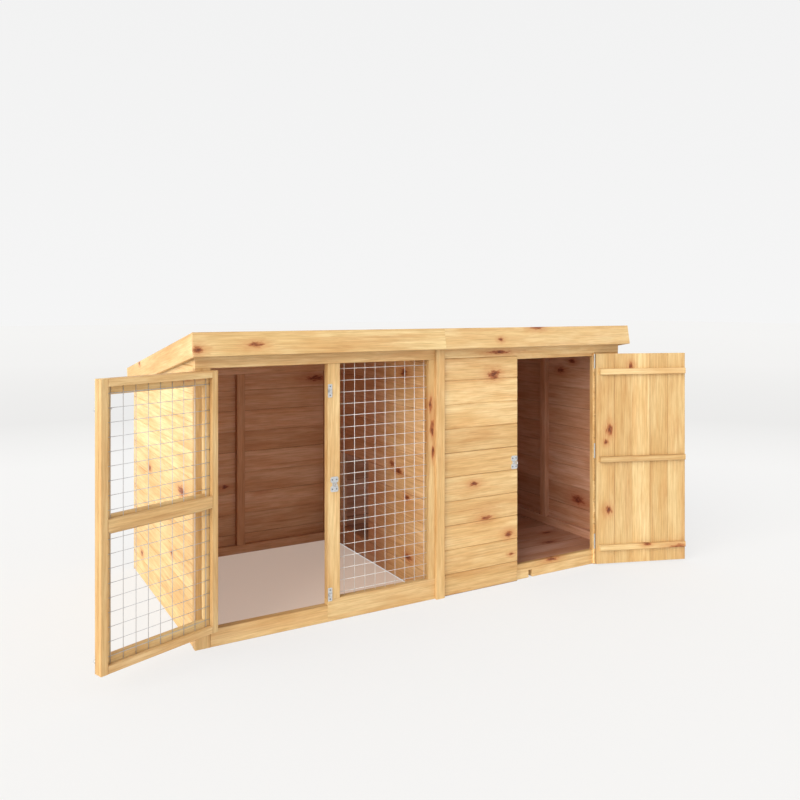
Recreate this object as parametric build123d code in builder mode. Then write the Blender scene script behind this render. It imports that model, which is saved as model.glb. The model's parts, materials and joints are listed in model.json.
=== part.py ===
from build123d import *
import math
import os

# A dog kennel with a meshed run beside it, under one pent roof that falls to the back.
# Millimetres, +Z up, front facing -Y, origin on the ground at the middle of the walls' footprint.
# Both doors stand open at rest, as far as the constants run_door_open and kennel_door_open say.

os.makedirs("parts", exist_ok=True)

# Walls
body_width = 2230
body_depth = 1120
module_width = body_width / 2
front_depth = 34
corner_post_width = 62
post_width = 57
arris = 1.5
joint_gap = 0.2

# Tongue and groove boarding
board_thickness = 12
board_cover = 110.8
bottom_board_height = 96
tongue_thickness = 3.6
tongue_length = 5
board_gap = 0.4
groove_clearance = 0.3

# Wall framing behind the boarding
stud_width = 45
stud_depth = 28
front_stud_depth = front_depth - board_thickness

# Roof
roof_slope = 10
roof_front_height = 1226.5
front_overhang = 45
rear_overhang = 60
side_overhang = 22.5
fascia_height = 95
fascia_thickness = 16
sheet_thickness = 11
felt_thickness = 2
roof_batten_size = (20, 28)
roof_fit = 0.3

# Run front
run_opening = (corner_post_width, 560)
run_sill_height = 69
run_head_height = 1084
mesh_rail_height = 93
mesh_pitch = 50
wire_thickness = 2.4
mesh_groove_depth = 15
mesh_edge_clearance = 1
mesh_groove_width = 3
mesh_depth = 19.2

# Kennel front
kennel_opening = (1563, 2063)
kennel_head_height = 1087
lintel_height = 1070
sill_levels = (46, 73)
bearer_notch = (1642, 1667, 36)
cover_batten_size = (46, 14)
cover_batten_top = 1190

# Kennel floor
bearer_height = 46
bearer_width = 45
floor_thickness = 18
floor_board_count = 11
floor_top = bearer_height + floor_thickness

# Doorway between kennel and run, in the partition
partition_face = 1087
pop_hole_depths = (637, 970)
pop_hole_levels = (bottom_board_height, 512)

# Doors
hinge_axis_offset = 3.6
run_door_open = 159
run_axis_place = 64.5
run_door_reach = (2.5, 491.5)
run_door_levels = (75, 1078)
run_frame_thickness = 19.4
run_strip_thickness = 18.2
run_stile_width = 49
run_rail_height = 56
run_mid_rail_height = 65
run_strip_width = 27
run_mid_strip_height = 45
kennel_door_open = 160
kennel_axis_place = 2061
kennel_door_reach = (2, 495)
kennel_door_levels = (7, 1083)
kennel_door_thickness = 11.5
kennel_door_boards_across = 5
ledge_reach = (18, 487)
ledge_levels = ((77, 105), (529, 557), (977, 1007))
ledge_thickness = 20

# Butt hinges, three to a door
hinge_height = 75
hinge_leaf_width = 25
leaf_thickness = 1.8
knuckle_radius = 3.4
knuckle_rows = 5
knuckle_gap = 0.3
pin_radius = 1.6
pin_clearance = 0.05
leaf_start = 4
run_hinge_levels = (130, 575, 1020)
kennel_hinge_levels = (120, 585, 1044)

# Screws
screw_head_radius = 3.2
screw_head_height = 1
screw_shank_radius = 1.7
screw_length = 10
screw_clearance = 0.1
screw_cross = (4.2, 0.9, 0.5)

# Swivel hasps and staples at mid height
staple_level = 575
run_staple_place = 590
kennel_staple_place = 1544
staple_plate_thickness = 2
staple_lobe_size = (36, 25)
staple_lobe_spread = 19.5
staple_waist_width = 20
staple_hole_spread = (10, 20)
swivel_neck_radius = 3
swivel_neck_end = 6.5
swivel_blade_thickness = 5
swivel_blade_height = 17
swivel_reach = 26
swivel_eye_radius = 3.5
swivel_tail_radius = 4.2
swivel_tail_thickness = 1.5
hasp_length = 70
hasp_overrun = 13
hasp_height = 26
hasp_thickness = 2
hasp_knuckle_radius = 3
hasp_leaf_width = 24
hasp_leaf_height = 42
hasp_slot = (12, 19.5)
hasp_folded = 170

# Small tower bolts near the top and bottom of the run door
bolt_levels = (114, 970)
bolt_axis_height = 6.8
bolt_radius = 4
bolt_bore_clearance = 0.08
bolt_plate_reach = (443.5, 489.5)
bolt_plate_height = 38
bolt_guides = ((446, 453), (482, 489))
bolt_guide_height = 13.2
bolt_rod_reach = (424, 490.5)
bolt_knob_place = 458
bolt_knob_radius = 3
bolt_knob_length = 12
keep_place = (560.5, 580)
keep_height = 56
keep_bridge = (562, 572)
keep_bore_clearance = 0.5

# Working planes: the house from its front left corner on the ground, the roof from the front top edge
slope = math.radians(roof_slope)
house = Plane(origin=(-body_width / 2, -body_depth / 2, 0))
roof = Plane(
    origin=(-body_width / 2, -body_depth / 2 - front_overhang, roof_front_height),
    x_dir=(1, 0, 0),
    z_dir=(0, math.sin(slope), math.cos(slope)),
)
roof_length = (front_overhang + body_depth + rear_overhang) / math.cos(slope)
sheet_bottom = -(felt_thickness + sheet_thickness)
roof_underside = roof.offset(sheet_bottom - roof_fit)


def turned(place, point, angle):
    """The plane at a local point, turned about its own upright axis."""
    direction = Vector(math.cos(math.radians(angle)), math.sin(math.radians(angle)), 0)
    return Plane(
        origin=place.from_local_coords(point),
        x_dir=place.from_local_coords(direction) - place.origin,
        z_dir=place.z_dir,
    )


run_axis = turned(house, (run_axis_place, -hinge_axis_offset, 0), 0)
kennel_axis = turned(house, (kennel_axis_place, -hinge_axis_offset, 0), 180)
run_door = turned(run_axis, (0, 0, 0), -run_door_open)
kennel_door = turned(kennel_axis, (0, 0, 0), kennel_door_open)

# Which way the inside lies along each plane's local Y
inside_of_house = 1
inside_of_run_door = 1
inside_of_kennel_door = -1


def ordered(first, last, sign=1):
    """A range whose ends are set in rising order after a change of sign."""
    return tuple(sorted((first * sign, last * sign)))


def upright(place, depth):
    """The plane of a wall or door at one depth: local X along it, local Y upwards."""
    return Plane(
        origin=place.from_local_coords((0, depth, 0)), x_dir=place.x_dir, z_dir=-place.y_dir
    )


def timber(place, across, deep, high, grain, edge=arris):
    """A straight length of timber with eased long edges, its grain along local x, y or z."""
    sizes = [span[1] - span[0] for span in (across, deep, high)]
    middle = tuple(sum(span) / 2 for span in (across, deep, high))
    directions = [place.x_dir, place.y_dir, place.z_dir]
    along = "xyz".index(grain)
    section = Plane(
        origin=place.from_local_coords(middle),
        x_dir=directions[(along + 1) % 3],
        z_dir=directions[along],
    )
    with BuildSketch(section) as outline:
        Rectangle(sizes[(along + 1) % 3], sizes[(along + 2) % 3])
        chamfer(outline.vertices(), length=edge)
    extrude(outline.sketch, amount=sizes[along] / 2, both=True)


def cut_box(place, across, deep, high):
    """Remove a plain box."""
    middle = tuple(sum(span) / 2 for span in (across, deep, high))
    with BuildSketch(Plane(place.from_local_coords(middle), place.x_dir, place.z_dir)) as outline:
        Rectangle(across[1] - across[0], deep[1] - deep[0])
    extrude(outline.sketch, amount=(high[1] - high[0]) / 2, both=True, mode=Mode.SUBTRACT)


def board(section, level, height, length, thickness=board_thickness, groove=4, groove_depth=3):
    """One tongued board: section X runs from its face inwards, section Y across its width."""
    top = level + height - board_gap
    tongue_face = (thickness - tongue_thickness) / 2
    tongue_back = (thickness + tongue_thickness) / 2
    slot_face = tongue_face - groove_clearance
    slot_back = tongue_back + groove_clearance
    slot_top = level + tongue_length + groove_clearance
    inner_edge = 1
    with BuildSketch(section) as outline:
        with BuildLine():
            Polyline(
                (groove_depth, level),
                (0, level + groove),
                (0, top - groove),
                (groove_depth, top),
                (tongue_face, top),
                (tongue_face, top + tongue_length),
                (tongue_back, top + tongue_length),
                (tongue_back, top),
                (thickness - inner_edge, top),
                (thickness, top - inner_edge),
                (thickness, level + inner_edge),
                (thickness - inner_edge, level),
                (slot_back, level),
                (slot_back, slot_top),
                (slot_face, slot_top),
                (slot_face, level),
                close=True,
            )
        make_face()
    extrude(outline.sketch, amount=length)


def courses(top):
    """Levels and heights of the board courses from the ground up to a level."""
    level = 0
    height = bottom_board_height
    while level < top:
        yield level, min(height, top - level)
        level += height
        height = board_cover


def facing_left(place, face, rear):
    """Section of boards whose face looks left, drawn at the rear end and run forwards."""
    return Plane(place.from_local_coords((face, rear, 0)), place.x_dir, -place.y_dir)


def rail_under_roof(across, depths):
    """A top rail along the slope, tight under the roof sheets."""
    start = (depths[0] + front_overhang + stud_width * math.sin(slope) + 3) / math.cos(slope)
    end = (depths[1] + front_overhang) / math.cos(slope)
    top = sheet_bottom - roof_fit
    timber(roof, across, (start, end), (top - stud_width, top), "y")


def net(place, across, high, first_wire, first_row):
    """A welded mesh sheet as one holed face, its wires on a regular pitch."""
    half = wire_thickness / 2

    def openings(span, first):
        """Clear widths between wires, the sheet's own edges included."""
        wires = [span[0] + half]
        wires += [w for w in (first + mesh_pitch * n for n in range(30)) if w < span[1] - mesh_pitch / 3]
        wires += [span[1] - half]
        return [(low + half, high_wire - half) for low, high_wire in zip(wires, wires[1:])]

    with BuildSketch(place) as sheet:
        with Locations((sum(across) / 2, sum(high) / 2)):
            Rectangle(across[1] - across[0], high[1] - high[0])
        for left, right in openings(across, first_wire):
            for bottom, top in openings(high, first_row):
                with Locations(((left + right) / 2, (bottom + top) / 2)):
                    Rectangle(right - left, top - bottom, mode=Mode.SUBTRACT)
    extrude(sheet.sketch, amount=half, both=True)


def drill(place, inside, face, centres, radius=screw_shank_radius + screw_clearance, depth=None):
    """Bore holes inwards from a face, at local x and z centres."""
    reach = depth or screw_length + 1
    with BuildSketch(upright(place, face)) as holes:
        with Locations(*centres):
            Circle(radius)
    extrude(holes.sketch, amount=-inside * reach, mode=Mode.SUBTRACT)


def screws(place, inside, head_face, centres):
    """Cross-head screws driven inwards, their heads on head_face."""
    cross_length, cross_width, cross_depth = screw_cross
    with BuildSketch(upright(place, head_face)) as heads:
        with Locations(*centres):
            Circle(screw_head_radius)
    extrude(heads.sketch, amount=inside * screw_head_height)
    with BuildSketch(upright(place, head_face)) as shanks:
        with Locations(*centres):
            Circle(screw_shank_radius)
    extrude(shanks.sketch, amount=-inside * screw_length)
    outer = head_face - inside * (screw_head_height - cross_depth)
    with BuildSketch(upright(place, outer)) as recesses:
        with Locations(*centres):
            Rectangle(cross_length, cross_width)
            Rectangle(cross_width, cross_length)
    extrude(recesses.sketch, amount=inside * cross_depth, mode=Mode.SUBTRACT)


def plate(place, near, far, across, high, corner):
    """A flat metal plate between two depths with rounded corners."""
    with BuildSketch(upright(place, (near + far) / 2)) as outline:
        with Locations((sum(across) / 2, sum(high) / 2)):
            RectangleRounded(across[1] - across[0], high[1] - high[0], corner)
    extrude(outline.sketch, amount=abs(far - near) / 2, both=True)


def hinge_screw_places(levels, side):
    """Screw centres of the butt hinge leaves on one side of the pin."""
    near = side * 11
    far = side * 19
    return [(x, level + dz) for level in levels for x, dz in ((near, -27), (far, -10), (near, 27), (far, 10))]


def hinge_leaves(place, inside, levels, side, rows):
    """Leaves of the butt hinges that lie on a face beside the pin, with their own knuckles."""
    row_height = hinge_height / knuckle_rows
    face = inside * hinge_axis_offset
    outer = face - inside * leaf_thickness
    for level in levels:
        bottom = level - hinge_height / 2
        plate(
            place, face, outer, ordered(leaf_start, hinge_leaf_width, side),
            (bottom, bottom + hinge_height), 2,
        )
        for row in rows:
            low = bottom + row * row_height + knuckle_gap / 2
            high = low + row_height - knuckle_gap
            with BuildSketch(place.offset(low)) as knuckle:
                Circle(knuckle_radius)
                with Locations((side * (leaf_start + 1) / 2, (face + outer) / 2)):
                    Rectangle(leaf_start + 1, leaf_thickness)
            extrude(knuckle.sketch, amount=high - low)
    with BuildSketch(place.offset(levels[0] - hinge_height)) as bore:
        Circle(pin_radius + pin_clearance)
    extrude(bore.sketch, amount=levels[-1] - levels[0] + 2 * hinge_height, mode=Mode.SUBTRACT)
    drill(
        place, inside, outer, hinge_screw_places(levels, side),
        screw_shank_radius + 2 * screw_clearance, leaf_thickness,
    )


run_post_hinge_screws = hinge_screw_places(run_hinge_levels, -1)
run_door_hinge_screws = hinge_screw_places(run_hinge_levels, 1)
kennel_post_hinge_screws = hinge_screw_places(kennel_hinge_levels, -1)
kennel_door_hinge_screws = hinge_screw_places(kennel_hinge_levels, 1)


def staple_screw_places(place):
    """Screw centres of a staple plate."""
    dx, dz = staple_hole_spread
    return [(place + i * dx, staple_level + j * dz) for i in (-1, 1) for j in (-1, 1)]


keep_middle = sum(keep_place) / 2
keep_screws = [(keep_middle, level + side * 19) for level in bolt_levels for side in (-1, 1)]
run_staple_screws = staple_screw_places(run_staple_place)
kennel_staple_screws = staple_screw_places(kennel_staple_place)
bolt_screws = [
    (x, level + side * 14) for level in bolt_levels for x in (449.5, 485.5) for side in (-1, 1)
]
run_hasp_axis = run_staple_place - run_axis_place - hasp_length
kennel_hasp_axis = kennel_axis_place - kennel_staple_place - hasp_length


def hasp_screw_places(axis):
    """Screw centres of a hasp's fixed leaf, on the hinge side of its pin."""
    return [(axis - dx, staple_level + dz) for dx, dz in ((10, -14), (10, 14), (22, -14), (22, 14))]


run_hasp_screws = hasp_screw_places(run_hasp_axis)
kennel_hasp_screws = hasp_screw_places(kennel_hasp_axis)


def finish(piece, name):
    """Label a finished piece and write it out."""
    piece.part.label = name
    export_step(piece.part, f"parts/{name}.step")


# Front of the run: posts, rails and the fixed mesh panel
mesh_window = (run_opening[1] + post_width, module_width - post_width)
mesh_sheet_across = (mesh_window[0] - mesh_groove_depth, mesh_window[1] + mesh_groove_depth)
mesh_sheet_high = (mesh_rail_height - mesh_groove_depth, run_head_height + mesh_groove_depth)


def cut_mesh_groove():
    """The groove round the mesh window that holds the sheet's edges."""
    cut_box(
        house,
        (mesh_sheet_across[0] - mesh_edge_clearance, mesh_sheet_across[1] + mesh_edge_clearance),
        (mesh_depth - mesh_groove_width / 2, mesh_depth + mesh_groove_width / 2),
        (mesh_sheet_high[0] - mesh_edge_clearance, mesh_sheet_high[1] + mesh_edge_clearance),
    )


with BuildPart() as run_corner_post:
    timber(house, (0, corner_post_width), (0, front_depth), (0, run_head_height), "z")
    drill(run_axis, inside_of_house, hinge_axis_offset, run_post_hinge_screws)
finish(run_corner_post, "run_corner_post")

with BuildPart() as run_door_sill:
    timber(house, run_opening, (0, front_depth), (0, run_sill_height), "x")
finish(run_door_sill, "run_door_sill")

with BuildPart() as mesh_panel_bottom_rail:
    timber(house, (run_opening[1], module_width), (0, front_depth), (0, mesh_rail_height), "x")
    cut_mesh_groove()
finish(mesh_panel_bottom_rail, "mesh_panel_bottom_rail")

with BuildPart() as run_mid_post:
    timber(
        house, (run_opening[1], mesh_window[0]), (0, front_depth), (mesh_rail_height, run_head_height), "z"
    )
    cut_mesh_groove()
    drill(house, inside_of_house, 0, keep_screws + run_staple_screws)
    drill(house, inside_of_house, 0, [(run_staple_place, staple_level)], 5, 4)
finish(run_mid_post, "run_mid_post")

with BuildPart() as mesh_panel_stile:
    timber(
        house, (mesh_window[1], module_width), (0, front_depth), (mesh_rail_height, run_head_height), "z"
    )
    cut_mesh_groove()
finish(mesh_panel_stile, "mesh_panel_stile")

with BuildPart() as run_top_rail:
    timber(house, (0, module_width), (0, front_depth), (run_head_height, roof_front_height), "x")
    split(bisect_by=roof_underside, keep=Keep.BOTTOM)
    cut_mesh_groove()
finish(run_top_rail, "run_top_rail")

with BuildPart() as run_front_mesh:
    net(
        upright(house, mesh_depth), mesh_sheet_across, mesh_sheet_high,
        mesh_window[0] + 28, mesh_rail_height + 16.5,
    )
finish(run_front_mesh, "run_front_mesh")

# Side, back and dividing walls: boarding outside, framing inside
wall_rear = body_depth - board_thickness
frame_rear = wall_rear - stud_depth
frame_middle = (front_depth + frame_rear) / 2
boards_top = roof_front_height

with BuildPart() as left_wall_boards:
    for level, height in courses(boards_top):
        board(facing_left(house, 0, wall_rear), level, height, wall_rear - front_depth)
    split(bisect_by=roof_underside, keep=Keep.BOTTOM)
finish(left_wall_boards, "left_wall_boards")

with BuildPart() as right_wall_boards:
    right_section = Plane(
        house.from_local_coords((body_width, board_thickness, 0)), -house.x_dir, house.y_dir
    )
    for level, height in courses(boards_top):
        board(right_section, level, height, wall_rear - board_thickness)
    split(bisect_by=roof_underside, keep=Keep.BOTTOM)
finish(right_wall_boards, "right_wall_boards")


def back_boards(start, end):
    """Horizontal boards of the back wall between two places, faces looking back."""
    section = Plane(house.from_local_coords((end, body_depth, 0)), -house.y_dir, -house.x_dir)
    for level, height in courses(boards_top):
        if level < 1000:
            board(section, level, height, end - start)
    split(bisect_by=roof_underside, keep=Keep.BOTTOM)


with BuildPart() as run_back_boards:
    back_boards(0, module_width - joint_gap)
finish(run_back_boards, "run_back_boards")

with BuildPart() as kennel_back_boards:
    back_boards(module_width, body_width)
finish(kennel_back_boards, "kennel_back_boards")


def side_frame(across, floor, stud_depths, rail_height):
    """Framing of a side wall: studs, bottom rail and a top rail along the roof's slope."""
    for depth in stud_depths:
        timber(house, across, (depth, depth + stud_width), (floor + rail_height + joint_gap, boards_top), "z")
    split(bisect_by=roof_underside.offset(-stud_width - joint_gap), keep=Keep.BOTTOM)
    timber(house, across, (front_depth, frame_rear), (floor, floor + rail_height), "y")
    rail_under_roof(across, (front_depth, frame_rear))


side_studs = (front_depth, frame_middle - stud_width / 2, frame_rear - stud_width)

with BuildPart() as left_wall_frame:
    side_frame((board_thickness, board_thickness + stud_depth), 0, side_studs, stud_width)
finish(left_wall_frame, "left_wall_frame")

with BuildPart() as right_wall_frame:
    right_face = body_width - board_thickness
    side_frame((right_face - stud_depth, right_face), floor_top, side_studs, stud_width)
finish(right_wall_frame, "right_wall_frame")


def back_frame(start, end, floor, studs):
    """Framing of the back wall between two places."""
    for place in studs:
        timber(house, (place, place + stud_width), (frame_rear, wall_rear), (floor + stud_width + joint_gap, 960), "z")
    timber(house, (start, end), (frame_rear, wall_rear), (floor, floor + stud_width), "x")
    timber(house, (start, end), (frame_rear, wall_rear), (960 + joint_gap, 1040), "x")
    split(bisect_by=roof_underside, keep=Keep.BOTTOM)


partition_frame_face = partition_face + board_thickness

with BuildPart() as run_back_frame:
    back_frame(
        board_thickness, partition_face, 0,
        (board_thickness, 525, partition_face - stud_width),
    )
finish(run_back_frame, "run_back_frame")

with BuildPart() as kennel_back_frame:
    back_frame(
        partition_frame_face, right_face, floor_top,
        (partition_frame_face, 1640, right_face - stud_width),
    )
finish(kennel_back_frame, "kennel_back_frame")


def partition_courses():
    """Courses of the partition: its boards are ripped to the head of the pop hole."""
    for level, height in courses(pop_hole_levels[1]):
        yield level, height
    for level, height in courses(boards_top):
        if level > 0 and pop_hole_levels[1] + level - bottom_board_height < boards_top:
            yield pop_hole_levels[1] + level - bottom_board_height, board_cover


with BuildPart() as partition_boards:
    for level, height in partition_courses():
        if pop_hole_levels[0] <= level < pop_hole_levels[1]:
            board(
                facing_left(house, partition_face, pop_hole_depths[0]), level, height,
                pop_hole_depths[0] - front_depth,
            )
            board(
                facing_left(house, partition_face, wall_rear), level, height,
                wall_rear - pop_hole_depths[1],
            )
        else:
            board(facing_left(house, partition_face, wall_rear), level, height, wall_rear - front_depth)
    cut_box(
        house, (partition_face - 1, partition_face + board_thickness + 1), pop_hole_depths,
        (pop_hole_levels[0] - board_gap, pop_hole_levels[0] + 2 * tongue_length),
    )
    split(bisect_by=roof_underside, keep=Keep.BOTTOM)
finish(partition_boards, "partition_boards")

with BuildPart() as partition_frame:
    partition_across = (partition_frame_face, partition_frame_face + stud_depth)
    side_frame(
        partition_across, floor_top,
        (front_depth, pop_hole_depths[0] - stud_width, pop_hole_depths[1]),
        pop_hole_levels[0] - floor_top,
    )
    timber(
        house, partition_across,
        (pop_hole_depths[0] + joint_gap, pop_hole_depths[1] - joint_gap),
        (pop_hole_levels[1], pop_hole_levels[1] + stud_width), "y",
    )
finish(partition_frame, "partition_frame")

# Front of the kennel: boards, head board, framing, sill and cover batten


def front_boards(start, end, top):
    """Horizontal boards of the kennel front between two places."""
    section = Plane(house.from_local_coords((start, 0, 0)), house.y_dir, house.x_dir)
    for level, height in courses(top):
        board(section, level, height, end - start)
    cut_box(house, (start - 1, end + 1), (-1, board_thickness + 1), (top - board_gap, top + 20))


with BuildPart() as kennel_front_boards_left:
    front_boards(module_width, kennel_opening[0], kennel_head_height)
    drill(house, inside_of_house, 0, kennel_staple_screws)
    drill(house, inside_of_house, 0, [(kennel_staple_place, staple_level)], 5, 4)
finish(kennel_front_boards_left, "kennel_front_boards_left")

with BuildPart() as kennel_front_boards_right:
    front_boards(kennel_opening[1], body_width, kennel_head_height)
    drill(kennel_axis, inside_of_kennel_door, -hinge_axis_offset, kennel_post_hinge_screws)
finish(kennel_front_boards_right, "kennel_front_boards_right")

with BuildPart() as kennel_head_board:
    timber(
        house, (module_width, body_width), (0, board_thickness),
        (kennel_head_height, roof_front_height), "x",
    )
    split(bisect_by=roof_underside, keep=Keep.BOTTOM)
finish(kennel_head_board, "kennel_head_board")

with BuildPart() as kennel_front_frame:
    front_layer = (board_thickness, front_depth)
    for start in (module_width, kennel_opening[0] - stud_width, kennel_opening[1], right_face - stud_width):
        timber(
            house, (start, start + stud_width), front_layer,
            (sill_levels[1], lintel_height - joint_gap), "z",
        )
    timber(
        house, (module_width, right_face), front_layer,
        (lintel_height, lintel_height + stud_width), "x",
    )
    timber(house, (module_width, right_face), front_layer, (1160, roof_front_height), "x")
    split(bisect_by=roof_underside, keep=Keep.BOTTOM)
finish(kennel_front_frame, "kennel_front_frame")

with BuildPart() as kennel_sill:
    timber(house, (module_width, right_face), (board_thickness, front_depth), sill_levels, "x")
finish(kennel_sill, "kennel_sill")

with BuildPart() as cover_batten:
    timber(
        house,
        (module_width - cover_batten_size[0] / 2, module_width + cover_batten_size[0] / 2),
        (-cover_batten_size[1], 0), (0, cover_batten_top), "z", 2,
    )
finish(cover_batten, "cover_batten")

# Kennel floor on three bearers
floor_span = (partition_frame_face + joint_gap, right_face - joint_gap)

with BuildPart() as floor_bearers:
    timber(house, (module_width, right_face), (board_thickness, board_thickness + bearer_width), (0, bearer_height), "x")
    cut_box(house, bearer_notch[:2], (0, 100), (-1, bearer_notch[2]))
    for depth in (frame_middle - bearer_width / 2, wall_rear - bearer_width - joint_gap):
        timber(house, floor_span, (depth, depth + bearer_width), (0, bearer_height), "x")
finish(floor_bearers, "floor_bearers")

with BuildPart() as floor_boards:
    floor_cover = (wall_rear - front_depth - tongue_length - 1) / floor_board_count
    floor_section = Plane(
        house.from_local_coords((floor_span[0], front_depth + joint_gap, floor_top)),
        -house.z_dir, house.x_dir,
    )
    for course in range(floor_board_count):
        board(
            floor_section, course * floor_cover, floor_cover,
            floor_span[1] - floor_span[0], floor_thickness, 1, 1,
        )
finish(floor_boards, "floor_boards")

# Roof: sheets, battens, felt, fascias and bargeboards
roof_edges = (-side_overhang + fascia_thickness, body_width + side_overhang - fascia_thickness)
sheet_span = (fascia_thickness, roof_length - fascia_thickness)
sheet_levels = (sheet_bottom, -felt_thickness)
sheet_edge = 0.5


def roof_sheet(across):
    """One roof sheet between two places, lying on the walls."""
    timber(roof, across, sheet_span, sheet_levels, "x", sheet_edge)


with BuildPart() as roof_sheet_left:
    roof_sheet((roof_edges[0], module_width - joint_gap))
finish(roof_sheet_left, "roof_sheet_left")

with BuildPart() as roof_sheet_right:
    roof_sheet((module_width + joint_gap, roof_edges[1]))
finish(roof_sheet_right, "roof_sheet_right")

with BuildPart() as roof_battens:
    for across in ((roof_edges[0], module_width - joint_gap), (module_width + joint_gap, roof_edges[1])):
        for start in (sheet_span[0], sheet_span[1] - roof_batten_size[0]):
            timber(
                roof, across, (start, start + roof_batten_size[0]),
                (sheet_bottom - roof_batten_size[1], sheet_bottom), "x",
            )
finish(roof_battens, "roof_battens")

with BuildPart() as roof_felt:
    timber(roof, roof_edges, sheet_span, (-felt_thickness, 0), "x", sheet_edge)
finish(roof_felt, "roof_felt")


def fascia(name, across, start):
    """A board across the front or back edge of the roof, square to the slope."""
    with BuildPart() as piece:
        timber(roof, across, (start, start + fascia_thickness), (-fascia_height, 0), "x")
    finish(piece, name)


fascia("front_fascia_left", (-side_overhang, module_width - joint_gap), 0)
fascia("front_fascia_right", (module_width + joint_gap, body_width + side_overhang), 0)
fascia("rear_fascia", (-side_overhang, body_width + side_overhang), roof_length - fascia_thickness)


def bargeboard(name, across):
    """A board along one sloping side edge of the roof."""
    with BuildPart() as piece:
        timber(roof, across, sheet_span, (-fascia_height, 0), "y")
    finish(piece, name)


bargeboard("left_bargeboard", (-side_overhang, roof_edges[0]))
bargeboard("right_bargeboard", (roof_edges[1], body_width + side_overhang))

# Run door: a wide outer frame and narrow inner strips with the mesh gripped between them
run_faces = (hinge_axis_offset, hinge_axis_offset + run_frame_thickness)
run_strip_faces = (run_faces[1] + wire_thickness, run_faces[1] + wire_thickness + run_strip_thickness)
run_middle = sum(run_door_levels) / 2
run_mid_rail = (run_middle - run_mid_rail_height / 2, run_middle + run_mid_rail_height / 2)
run_mid_strip = (run_middle - run_mid_strip_height / 2, run_middle + run_mid_strip_height / 2)

with BuildPart() as run_door_stiles:
    for start in (run_door_reach[0], run_door_reach[1] - run_stile_width):
        timber(run_door, (start, start + run_stile_width), run_faces, run_door_levels, "z")
    drill(run_door, inside_of_run_door, run_faces[0], run_door_hinge_screws + bolt_screws + run_hasp_screws)
finish(run_door_stiles, "run_door_stiles")

with BuildPart() as run_door_rails:
    rail_reach = (run_door_reach[0] + run_stile_width, run_door_reach[1] - run_stile_width)
    for low, high in (
        (run_door_levels[0], run_door_levels[0] + run_rail_height),
        run_mid_rail,
        (run_door_levels[1] - run_rail_height, run_door_levels[1]),
    ):
        timber(run_door, rail_reach, run_faces, (low, high), "x")
    drill(run_door, inside_of_run_door, run_faces[0], run_hasp_screws)
finish(run_door_rails, "run_door_rails")

with BuildPart() as run_door_strips:
    for start in (run_door_reach[0], run_door_reach[1] - run_strip_width):
        timber(run_door, (start, start + run_strip_width), run_strip_faces, run_door_levels, "z")
    strip_reach = (
        run_door_reach[0] + run_strip_width + joint_gap,
        run_door_reach[1] - run_strip_width - joint_gap,
    )
    for low, high in (
        (run_door_levels[0], run_door_levels[0] + run_strip_width),
        run_mid_strip,
        (run_door_levels[1] - run_strip_width, run_door_levels[1]),
    ):
        timber(run_door, strip_reach, run_strip_faces, (low, high), "x")
finish(run_door_strips, "run_door_strips")

with BuildPart() as run_door_mesh:
    mesh_margin = 6
    net(
        upright(run_door, run_faces[1] + wire_thickness / 2),
        (run_door_reach[0] + mesh_margin, run_door_reach[1] - mesh_margin),
        (run_door_levels[0] + mesh_margin, run_door_levels[1] - mesh_margin),
        run_door_reach[0] + 44, run_door_levels[0] + 51.5,
    )
finish(run_door_mesh, "run_door_mesh")

# Kennel door: upright boards on three ledges
kennel_face = inside_of_kennel_door * hinge_axis_offset
kennel_back = kennel_face + inside_of_kennel_door * kennel_door_thickness

with BuildPart() as kennel_door_boards:
    door_cover = (kennel_door_reach[1] - kennel_door_reach[0]) / kennel_door_boards_across
    door_section = Plane(
        kennel_door.from_local_coords((0, kennel_face, kennel_door_levels[0])),
        inside_of_kennel_door * kennel_door.y_dir, kennel_door.z_dir,
    )
    for number in range(kennel_door_boards_across):
        board(
            door_section, kennel_door_reach[0] + number * door_cover, door_cover,
            kennel_door_levels[1] - kennel_door_levels[0], kennel_door_thickness, 2.5, 2,
        )
    cut_box(
        kennel_door, (kennel_door_reach[1] - board_gap, kennel_door_reach[1] + 20),
        ordered(kennel_back - 5, kennel_face + 5), (0, kennel_door_levels[1] + 1),
    )
    drill(
        kennel_door, inside_of_kennel_door, kennel_face, kennel_door_hinge_screws + kennel_hasp_screws
    )
finish(kennel_door_boards, "kennel_door_boards")

with BuildPart() as kennel_door_ledges:
    for levels in ledge_levels:
        timber(
            kennel_door, ledge_reach,
            ordered(kennel_back, kennel_back + inside_of_kennel_door * ledge_thickness), levels, "x", 2,
        )
finish(kennel_door_ledges, "kennel_door_ledges")

# Butt hinges: leaves on the house, leaves on each door, and the pins
house_rows = (0, 2, 4)
door_rows = (1, 3)

with BuildPart() as hinge_post_leaves:
    hinge_leaves(run_axis, inside_of_run_door, run_hinge_levels, -1, house_rows)
    hinge_leaves(kennel_axis, inside_of_kennel_door, kennel_hinge_levels, -1, house_rows)
finish(hinge_post_leaves, "hinge_post_leaves")

with BuildPart() as run_door_hinge_leaves:
    hinge_leaves(run_door, inside_of_run_door, run_hinge_levels, 1, door_rows)
finish(run_door_hinge_leaves, "run_door_hinge_leaves")

with BuildPart() as kennel_door_hinge_leaves:
    hinge_leaves(kennel_door, inside_of_kennel_door, kennel_hinge_levels, 1, door_rows)
finish(kennel_door_hinge_leaves, "kennel_door_hinge_leaves")

with BuildPart() as hinge_pins:
    for axis, levels in ((run_axis, run_hinge_levels), (kennel_axis, kennel_hinge_levels)):
        for level in levels:
            with BuildSketch(axis.offset(level)) as pin:
                Circle(pin_radius)
            extrude(pin.sketch, amount=hinge_height / 2, both=True)
    chamfer(hinge_pins.edges().filter_by(GeomType.CIRCLE), length=0.4)
finish(hinge_pins, "hinge_pins")

# Swivel hasps: a plate with a turning staple on the house, a slotted strap on each door


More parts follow.
